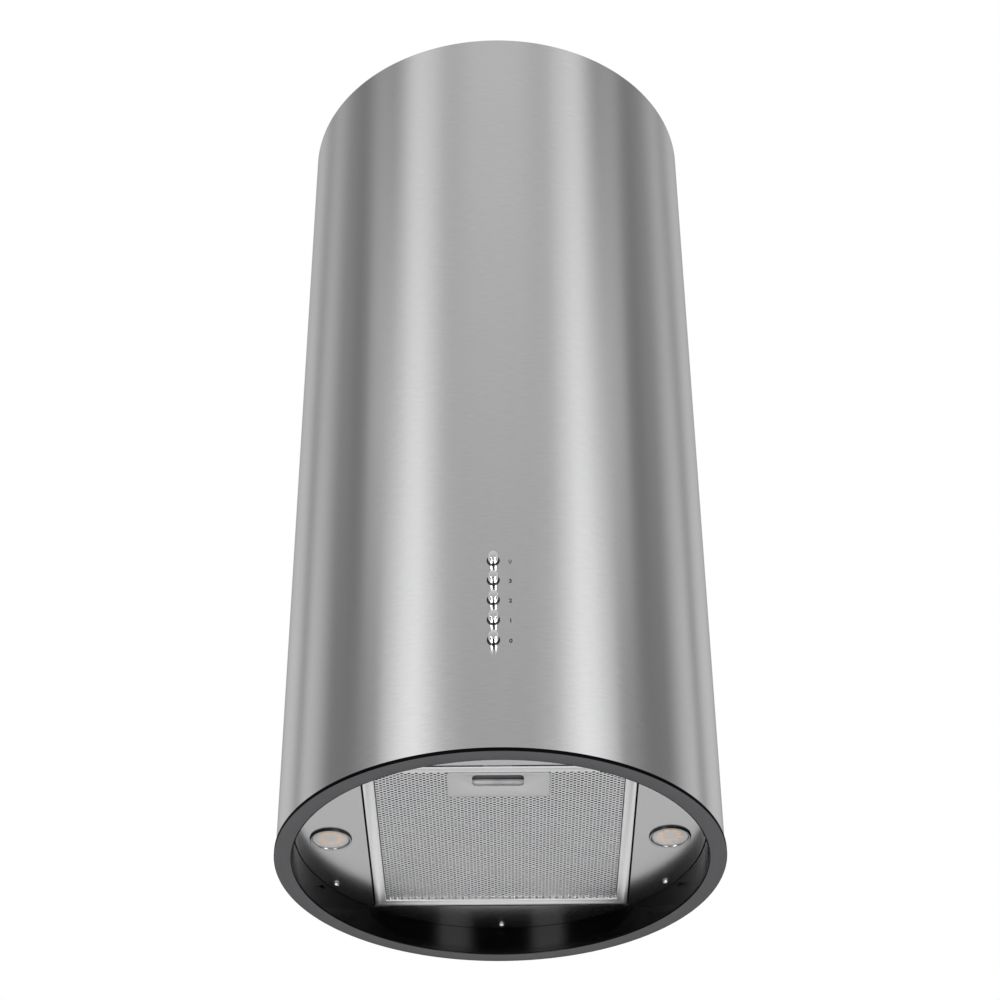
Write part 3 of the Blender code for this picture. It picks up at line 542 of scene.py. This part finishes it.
# ------------------------------------------------------------------- lamps
for s, word in ((-1, "left"), (1, "right")):
    x = s * LAMP_X
    trim = lathe(
        [
            (18.2 * MM, 30.4 * MM), (18.2 * MM, 24.75 * MM), (18.0 * MM, 24.35 * MM), (17.6 * MM, 24.1 * MM),
            (16.9 * MM, 24.15 * MM), (16.2 * MM, 24.75 * MM), (16.05 * MM, 25.4 * MM), (16.05 * MM, 30.4 * MM),
        ],
        72, (x, 0, 0),
    )
    for poly in trim.polygons:
        c = poly.center
        if math.hypot(c.x - x, c.y) > 17.95 * MM:
            # painted shade: the trim's outer wall takes the black collar material instead of its own metal
            poly.material_index = 1
    smooth(trim, 40.0)
    add(f"lamp_trim_{word}", trim, "root", BEZEL, COLLAR_AND_SHADE, slot="lamp_bezel", replaces=(f"lamp_bezel_{word}",))
    # a shallow moulded glass with a ribbed rim
    prof = [(0, 26.0 * MM), (15.8 * MM, 26.0 * MM), (15.8 * MM, 25.3 * MM), (15.5 * MM, 25.0 * MM)]
    for k in range(5):
        r = 15.2 - k * 0.6
        prof += [(r * MM, (24.95 + 0.30 * (k % 2)) * MM)]
    prof += [(12.0 * MM, 24.9 * MM), (5.0 * MM, 24.8 * MM), (0, 24.8 * MM)]
    lens = lathe(prof, 72, (x, 0, 0), "Z", False)
    smooth(lens, 50.0)
    add(f"lamp_glass_{word}", lens, "root", LENS, slot="lamp_lens", replaces=(f"lamp_lens_{word}",))
    body = lathe(
        [
            (0, 55.9 * MM), (5.6 * MM, 55.9 * MM), (6.0 * MM, 55.3 * MM), (6.0 * MM, 50 * MM), (10.5 * MM, 47 * MM), (15.9 * MM, 34 * MM),
            (15.8 * MM, 26.4 * MM), (15.3 * MM, 26.2 * MM), (14.6 * MM, 26.6 * MM), (13.4 * MM, 27.2 * MM), (5.0 * MM, 27.2 * MM), (0, 27.2 * MM),
        ],
        72, (x, 0, 0), "Z", False,
    )
    for poly in body.polygons:
        c = poly.center
        if c.z < 27.5 * MM and math.hypot(c.x - x, c.y) < 15.4 * MM:
            poly.material_index = 1
    chips = []
    for k in range(9):
        a = math.tau * k / 9 + 0.2
        m = block(-2.7 * MM, 2.7 * MM, -2.4 * MM, 2.4 * MM, 26.55 * MM, 27.3 * MM, 0.25 * MM, 1)
        m.transform(Matrix.Translation((x + 9.0 * MM * math.cos(a), 9.0 * MM * math.sin(a), 0)) @ Matrix.Rotation(a, 4, "Z"))
        for p in m.polygons:
            p.material_index = 2
        chips.append(m)
    body = joined(body, *chips)
    smooth(body, 35.0)
    add(f"lamp_body_{word}", body, "root", GREY_PL, LAMP_WHITE, LAMP_CHIP, slot="grey_plastic", replaces=(f"lamp_housing_{word}",))

# ---------------------------------------------------------- grease filter
FX = FILT_HI.x
FY0, FY1 = -124.2 * MM, 132.0 * MM
# the rail's section: (inset from the outer edge, height above the panel's face)
section = [
    (2.4, 9.0), (2.4, 1.3), (0.15, 1.1), (0, 0.9), (0, 0.35), (0.35, 0.05), (1.0, 0.0), (2.6, 0.0), (3.3, 0.25),
    (8.4, 0.3), (9.35, 0.4), (9.8, 0.85), (9.8, 9.0),
]
bm = bmesh.new()
loops = []
for inset, up in section:
    i = inset * MM
    pts = [(-FX + i, FY0 + i), (FX - i, FY0 + i), (FX - i, FY1 - i), (-FX + i, FY1 - i)]
    loops.append([bm.verts.new((px, py, PANEL_Z + up * MM)) for px, py in pts])
for a, b in zip(loops, loops[1:] + loops[:1]):
    for k in range(4):
        n = (k + 1) % 4
        bm.faces.new((a[k], a[n], b[n], b[k]))
bmesh.ops.recalc_face_normals(bm, faces=bm.faces)
frame_mesh = bpy.data.meshes.new("rails")
bm.to_mesh(frame_mesh)
bm.free()
frame_mesh = cut(frame_mesh, block(-16 * MM, 13 * MM, -140 * MM, -110 * MM, 27.7 * MM, 30.2 * MM))
frame_mesh = cut(
    frame_mesh,
    *[block(x - 9 * MM, x + 9 * MM, 128 * MM, 141 * MM, 28.0 * MM, 29.2 * MM, 0.3 * MM, 1) for x in (-70 * MM, 70 * MM)],
    operation="UNION",
)
smooth(frame_mesh, 20.0)
add("filter_rails", frame_mesh, "filter", FRAME_AL, slot="filter_frame", replaces=("filter_frame",))


def perforated(x0, x1, y0, y1, px, py, hole, z, thick, keep=None, dome=0.0):
    """A sheet with staggered round holes: columns px apart, holes py apart in a column, every other column shifted."""
    bm = bmesh.new()
    cols = int(math.floor((x1 - x0) / px))
    rows = int(math.floor((y1 - y0) / py)) + 1
    sx = (x0 + x1) / 2 - cols * px / 2
    made = {}

    def vert(x, y, h):
        key = (round(x * 1e7), round(y * 1e7), round(h * 1e7))
        if key not in made:
            made[key] = bm.verts.new((x, y, h))
        return made[key]

    sides = 6
    for c in range(cols):
        cx = sx + (c + 0.5) * px
        for r in range(rows):
            cy = y0 + (r + 0.5) * py + (py / 2 if c % 2 else 0.0)
            if cy + py / 2 > y1 or cy - py / 2 < y0:
                continue
            if keep and not keep(cx, cy):
                continue
            # the cell is a hexagon whose corners its neighbours share
            corners = [
                (cx - px / 2, cy - py / 2), (cx + px / 2, cy - py / 2), (cx + px / 2, cy),
                (cx + px / 2, cy + py / 2), (cx - px / 2, cy + py / 2), (cx - px / 2, cy),
            ]
            angles = [math.atan2(b - cy, a - cx) for a, b in corners]
            outer = [vert(a, b, z) for a, b in corners]
            inner = [bm.verts.new((cx + hole * math.cos(g) * 1.06, cy + hole * math.sin(g) * 0.94, z + dome)) for g in angles]
            for k in range(sides):
                n = (k + 1) % sides
                bm.faces.new((outer[k], outer[n], inner[n], inner[k]))
    bmesh.ops.recalc_face_normals(bm, faces=bm.faces)
    mesh = bpy.data.meshes.new("perforated")
    bm.to_mesh(mesh)
    bm.free()
    ob = scratch(mesh)
    mod = ob.modifiers.new("solid", "SOLIDIFY")
    mod.thickness, mod.offset, mod.use_even_offset = thick, 0.0, False
    mesh = mesh_of(ob)
    return mesh


HX0, HX1, HY0, HY1 = -44.3 * MM, 42.1 * MM, -114.1 * MM, -73.3 * MM


def clear_of_handle(x, y):
    return not (HX0 + 1.0 * MM < x < HX1 - 1.0 * MM and y < HY1 - 2.4 * MM)


def clear_of_latch(x, y):
    return not (-36.0 * MM < x < 33.0 * MM and y < -72.0 * MM)


mesh_front = perforated(-106.2 * MM, 106.2 * MM, -115.0 * MM, 122.6 * MM, 3.095 * MM, 4.06 * MM, 1.40 * MM, 28.6 * MM, 0.24 * MM, clear_of_handle, -0.22 * MM)
smooth(mesh_front, 50.0)
front_ob = add("filter_front_layer", mesh_front, "filter", MESH_AL, slot="filter_mesh", replaces=("filter_mesh",))
# the middle and top layers carry the darkened aluminium copies: painted shade behind the holes
mesh_mid = perforated(-106.2 * MM, 106.2 * MM, -115.0 * MM, 122.6 * MM, 5.3 * MM, 6.9 * MM, 1.75 * MM, 30.6 * MM, 0.3 * MM, clear_of_latch, 0.3 * MM)
smooth(mesh_mid, 50.0)
add("filter_middle_layer", mesh_mid, "filter", MESH_BACK_SHADE, slot="filter_mesh")
mesh_top = perforated(-106.2 * MM, 106.2 * MM, -115.0 * MM, 122.6 * MM, 6.19 * MM, 8.12 * MM, 1.9 * MM, 33.6 * MM, 0.4 * MM, None, 0.2 * MM)
smooth(mesh_top, 50.0)
add("filter_top_layer", mesh_top, "filter", MESH_REAR_SHADE, slot="filter_mesh")

handle = plate(
    [
        rectangle(HX0, HY0, HX1, HY1, 2.5 * MM, 5),
        rectangle(-23.0 * MM, -110.6 * MM, 20.4 * MM, -92.0 * MM, 4.2 * MM, 8),
    ],
    26.2 * MM, 27.6 * MM, 0.3 * MM, 3,
)
handle = cut(handle, block(-6 * MM, 3.4 * MM, -77.4 * MM, -75.8 * MM, 27.2 * MM, 33 * MM, 0.2 * MM, 1), operation="UNION")
smooth(handle, 35.0)
add("handle_plate", handle, "filter", HANDLE_AL, slot="filter_plate", replaces=("filter_handle_plate",))

# a shallow dark tray over the slot, between the layers: a dark sheet put in as painted shade seen through the slot
tray = plate([rectangle(-40.0 * MM, -113.8 * MM, 37.0 * MM, -93.2 * MM)], 30.3 * MM, 30.9 * MM, 0.1 * MM, 1)
add("latch_pocket_painted_shade", smooth(tray, 35.0), "filter", POCKET_SHADE, slot="filter_plate")

slider = plate(
    [
        rectangle(-30.0 * MM, -112.8 * MM, 27.4 * MM, -90.0 * MM, 1.5 * MM, 4),
        rectangle(-25.6 * MM, -111.6 * MM, 23.0 * MM, -97.2 * MM, 1.0 * MM, 3),
    ],
    28.0 * MM, 29.8 * MM, 0.2 * MM, 2,
)
slider = cut(
    slider,
    block(-13.3 * MM, 10.7 * MM, -126.6 * MM, -112.0 * MM, 28.2 * MM, 29.6 * MM, 0.25 * MM, 2),
    block(-7.0 * MM, 4.4 * MM, -92.2 * MM, -90.4 * MM, 29.0 * MM, 33.0 * MM, 0.2 * MM, 1),
    operation="UNION",
)
add("latch_slide_bar", smooth(slider, 35.0), "latch", LATCH_PL, slot="latch_grey", replaces=("latch_slider",))

# the latch's return spring: a round wire coil, closed at both ends
bm = bmesh.new()
rings, turns, per = [], 6, 20
for k in range(turns * per + 1):
    t = k / (turns * per)
    a = math.tau * turns * t
    middle = Vector((-1.3 + 1.7 * math.cos(a), -89.4 + 11.2 * t, 30.9 + 1.7 * math.sin(a))) * MM
    out = Vector((math.cos(a), 0, math.sin(a)))
    side = Vector((0, 1, 0))
    rings.append([
        bm.verts.new(middle + 0.33 * MM * (math.cos(g) * out + math.sin(g) * side))
        for g in (math.tau * j / 8 for j in range(8))
    ])
for a, b in zip(rings, rings[1:]):
    for j in range(8):
        bm.faces.new((a[j], a[(j + 1) % 8], b[(j + 1) % 8], b[j]))
bm.faces.new(rings[0])
bm.faces.new(rings[-1])
bmesh.ops.recalc_face_normals(bm, faces=bm.faces)
coil = bpy.data.meshes.new("coil")
bm.to_mesh(coil)
bm.free()
coil_ob = add("latch_return_spring", smooth(coil, 50.0), "filter", SHAFT, slot="shaft_steel", replaces=("latch_spring",))
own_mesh(coil_ob)

# ---------------------------------------------------------------- buttons
for i, (lo, hi) in enumerate(BUTTONS, 1):
    f, b = lo.y, hi.y
    r = 4.2 * MM
    z = BZ[i - 1]
    cap = lathe(
        [
            (0, b), (r - 0.3 * MM, b), (r, b - 0.3 * MM), (r, f + 1.05 * MM), (r - 0.1 * MM, f + 0.55 * MM), (r - 0.4 * MM, f + 0.2 * MM),
            (r - 0.85 * MM, f + 0.04 * MM), (r - 1.3 * MM, f), (0, f),
        ],
        48, (BX, 0, z), "Y", False,
    )
    smooth(cap, 40.0)
    add(f"button_{i}_chrome", cap, f"button_{i}", CHROME, slot="button_chrome", replaces=(f"button_cap_{i}",))

guide_lo, guide_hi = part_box("button_guide")
guide = block(guide_lo.x, guide_hi.x, -193.1 * MM, guide_hi.y, guide_lo.z, guide_hi.z, 0.4 * MM, 2)
for z in BZ:
    guide = cut(guide, lathe([(0, -192 * MM), (5.25 * MM, -192 * MM), (5.25 * MM, -195.0 * MM), (5.05 * MM, guide_lo.y), (0, guide_lo.y)], 48, (BX, 0, z), "Y", False), operation="UNION")
for z in BZ:
    guide = cut(guide, lathe([(0, -185 * MM), (4.45 * MM, -185 * MM), (4.45 * MM, -205 * MM), (0, -205 * MM)], 48, (BX, 0, z), "Y", False))
smooth(guide, 35.0)
add("button_collars", guide, "root", COLLAR_AND_SHADE, slot="black_plastic", replaces=("button_guide",))


def printed(name, mesh, x, z):
    """Lays a flat print (in the XZ plane, about the origin) on the tube."""
    for v in mesh.vertices:
        px = x + v.co.x
        a = px / R
        rad = R + 0.02 * MM + v.co.y
        v.co = Vector((rad * math.sin(a), -rad * math.cos(a), z + v.co.z))
    mesh.update()
    return add(name, mesh, "root", INK, slot="black_plastic")


def digit(text, size):
    curve = bpy.data.curves.new("digit", "FONT")
    curve.body, curve.size, curve.extrude = text, size, 0.02 * MM
    curve.align_x, curve.align_y = "CENTER", "CENTER"
    curve.resolution_u = 6
    curve.offset = 0.21 * MM
    ob = bpy.data.objects.new("scratch", curve)
    bpy.context.scene.collection.objects.link(ob)
    ob.matrix_world = Matrix.Rotation(math.radians(90), 4, "X")
    return mesh_of(ob)


LABEL_X = 10.4 * MM
for i, text in enumerate(("0", "1", "2", "3")):
    printed(f"mark_{text}", digit(text, 5.4 * MM), LABEL_X, BZ[i] - 0.9 * MM)
# the lamp sign: a bulb, its neck and a base
bulb = [circle(0, 0.5 * MM, 1.45 * MM, 24), circle(0, 0.5 * MM, 0.95 * MM, 24)]
sign = joined(
    plate(bulb, -0.02 * MM, 0.02 * MM),
    plate([rectangle(-0.75 * MM, -1.55 * MM, 0.75 * MM, -1.1 * MM)], -0.02 * MM, 0.02 * MM),
    plate([rectangle(-0.55 * MM, -2.2 * MM, 0.55 * MM, -1.8 * MM)], -0.02 * MM, 0.02 * MM),
)
sign.transform(Matrix.Rotation(math.radians(90), 4, "X"))
printed("mark_lamp", sign, LABEL_X, BZ[4] - 0.9 * MM)

# ------------------------------------------------------------ stage, light
floor_mat = Tree("studio_floor", 0.75, 0.0)
floor_mat.colour(floor_mat.noise(3.0, 3.0), (0.80, 0.80, 0.80), (0.83, 0.83, 0.83))
floor_mesh = lathe([(0, 0), (7.0, 0), (7.0, -0.02), (0, -0.02)], 96, (0, 0, -2.05), "Z", False)
floor = bpy.data.objects.new("studio_floor", floor_mesh)
bpy.context.scene.collection.objects.link(floor)
floor_mesh.materials.append(floor_mat.mat)

world = bpy.data.worlds.new("studio")
bpy.context.scene.world = world
world.use_nodes = True
wt = world.node_tree
wt.nodes.clear()


def wn(kind, **props):
    n = wt.nodes.new(kind)
    for k, v in props.items():
        setattr(n, k, v)
    return n


def wmath(op, a, b=None):
    n = wn("ShaderNodeMath", operation=op)
    for i, v in enumerate((a, b)):
        if v is None:
            continue
        if isinstance(v, (int, float)):
            n.inputs[i].default_value = v
        else:
            wt.links.new(v, n.inputs[i])
    return n.outputs[0]


sep = wn("ShaderNodeSeparateXYZ")
wt.links.new(wn("ShaderNodeTexCoord").outputs["Generated"], sep.inputs[0])
azimuth = wmath("ABSOLUTE", wmath("ARCTAN2", sep.outputs[0], wmath("MULTIPLY", sep.outputs[1], -1.0)))
azimuth = wmath("DIVIDE", azimuth, math.pi)


def cards(stops):
    """Studio brightness by angle from the front: white cards, soft boxes and black flags."""
    ramp = wn("ShaderNodeValToRGB")
    wt.links.new(azimuth, ramp.inputs[0])
    while len(ramp.color_ramp.elements) < len(stops):
        ramp.color_ramp.elements.new(0.5)
    for el, (deg, lum) in zip(ramp.color_ramp.elements, stops):
        el.position = deg / 180
        el.color = (lum, lum, lum * 1.005, 1)
    return ramp.outputs[0]


def level(low, high):
    n = wn("ShaderNodeMapRange")
    wt.links.new(sep.outputs[2], n.inputs["Value"])
    n.inputs["From Min"].default_value, n.inputs["From Max"].default_value = low, high
    return n.outputs[0]


def between(fac, a, b):
    n = wn("ShaderNodeMix", data_type="RGBA")
    wt.links.new(fac, n.inputs["Factor"])
    wt.links.new(a, n.inputs[6])
    wt.links.new(b, n.inputs[7])
    return n.outputs[2]


LOW = cards([
    (0, 0.52), (26, 0.47), (31, 0.62), (44, 1.30), (51, 1.22), (58, 0.95), (62, 0.70), (66, 0.36), (76, 0.33), (84, 0.25), (97, 0.25),
    (110, 0.64), (120, 0.78), (124, 0.50), (128, 0.29), (133, 0.60), (139, 0.72), (150, 0.66), (160, 0.50), (168, 0.30), (180, 0.20),
])
MID = cards([
    (0, 0.65), (26, 0.66), (31, 0.71), (44, 1.15), (50, 1.08), (58, 0.85), (62, 0.80), (70, 0.85), (77, 0.70), (82, 0.30),
    (89, 0.25), (95, 0.35), (104, 0.37), (112, 0.57), (120, 0.67), (128, 0.29), (133, 0.40), (138, 0.65), (150, 0.62),
    (160, 0.50), (168, 0.30), (180, 0.20),
])
HIGH = cards([
    (0, 0.80), (14, 0.78), (26, 0.64), (32, 0.62), (40, 0.76), (54, 0.84), (60, 0.56), (68, 0.20), (75, 0.36), (85, 0.38),
    (92, 0.27), (104, 0.30), (113, 0.50), (120, 0.62), (128, 0.30), (134, 0.42), (140, 0.62), (152, 0.58), (160, 0.48), (168, 0.30), (180, 0.20),
])
env = between(level(0.53, 0.62), LOW, MID)
env = between(level(0.64, 0.72), env, HIGH)
studio = wn("ShaderNodeBackground")
wt.links.new(env, studio.inputs[0])
white = wn("ShaderNodeBackground")
white.inputs[0].default_value = (1, 1, 1, 1)
mix = wn("ShaderNodeMixShader")
wt.links.new(wn("ShaderNodeLightPath").outputs["Is Camera Ray"], mix.inputs[0])
wt.links.new(studio.outputs[0], mix.inputs[1])
wt.links.new(white.outputs[0], mix.inputs[2])
wt.links.new(mix.outputs[0], wn("ShaderNodeOutputWorld").inputs[0])


def softbox(name, where, target, size, power):
    light = bpy.data.lights.new(name, "AREA")
    light.shape, light.size, light.size_y, light.energy = "RECTANGLE", size[0], size[1], power
    ob = bpy.data.objects.new(name, light)
    bpy.context.scene.collection.objects.link(ob)
    ob.location = where
    ob.rotation_euler = (Vector(target) - Vector(where)).to_track_quat("-Z", "Y").to_euler()
    ob.visible_camera = False
    return ob


for s in (-1, 1):
    softbox(f"front_soft_box_{'left' if s < 0 else 'right'}", (s * 1.05, -2.0, -0.62), (0, 0, 0.1), (0.7, 1.5), 26)
over = softbox("floor_wash", (0, 1.6, 2.6), (0, 1.6, -2.05), (3.0, 3.0), 86)
over.visible_glossy = False

# a black flag below and in front keeps the ring's inner wall dark; it only shows in glossy reflections
flag_mat = Tree("studio_flag", 0.9, 0.0, Specular_IOR_Level=0.05)
flag_mat.colour(flag_mat.noise(5.0, 2.0), (0.002, 0.002, 0.002), (0.004, 0.004, 0.004))
bm = bmesh.new()
for k in range(41):
    az = math.radians(-80 + 4 * k)
    for el in (-8, -22, -36, -50, -62):
        e = math.radians(el)
        bm.verts.new((2.6 * math.cos(e) * math.sin(az), -2.6 * math.cos(e) * math.cos(az), 2.6 * math.sin(e)))
bm.verts.ensure_lookup_table()
for k in range(40):
    for j in range(4):
        i = k * 5 + j
        bm.faces.new((bm.verts[i], bm.verts[i + 1], bm.verts[i + 6], bm.verts[i + 5]))
flag_mesh = bpy.data.meshes.new("studio_flag")
bm.to_mesh(flag_mesh)
bm.free()
flag = bpy.data.objects.new("studio_flag", flag_mesh)
bpy.context.scene.collection.objects.link(flag)
flag_mesh.materials.append(flag_mat.mat)
flag.visible_camera = flag.visible_diffuse = flag.visible_shadow = False

# ----------------------------------------------------------------- camera
YAW, PITCH, ROLL = math.radians(-0.177), math.radians(36.506), math.radians(-0.358)
cam = bpy.data.objects.new("camera", bpy.data.cameras.new("camera"))
bpy.context.scene.collection.objects.link(cam)
fw = Vector((math.sin(YAW) * math.cos(PITCH), math.cos(YAW) * math.cos(PITCH), math.sin(PITCH)))
right = Vector((math.cos(YAW), -math.sin(YAW), 0))
up = right.cross(fw)
r2 = math.cos(ROLL) * right + math.sin(ROLL) * up
u2 = -math.sin(ROLL) * right + math.cos(ROLL) * up
cam.matrix_world = Matrix((
    (r2.x, u2.x, -fw.x, 0.00688), (r2.y, u2.y, -fw.y, -1.7359), (r2.z, u2.z, -fw.z, -0.8905), (0, 0, 0, 1),
))
cam.data.sensor_width = 36.0
cam.data.lens = 2214.7 / 1000 * 36.0
cam.data.clip_start, cam.data.clip_end = 0.02, 50.0
bpy.context.scene.camera = cam
bpy.context.scene.view_settings.view_transform = "Standard"
bpy.context.scene.view_settings.look = "None"
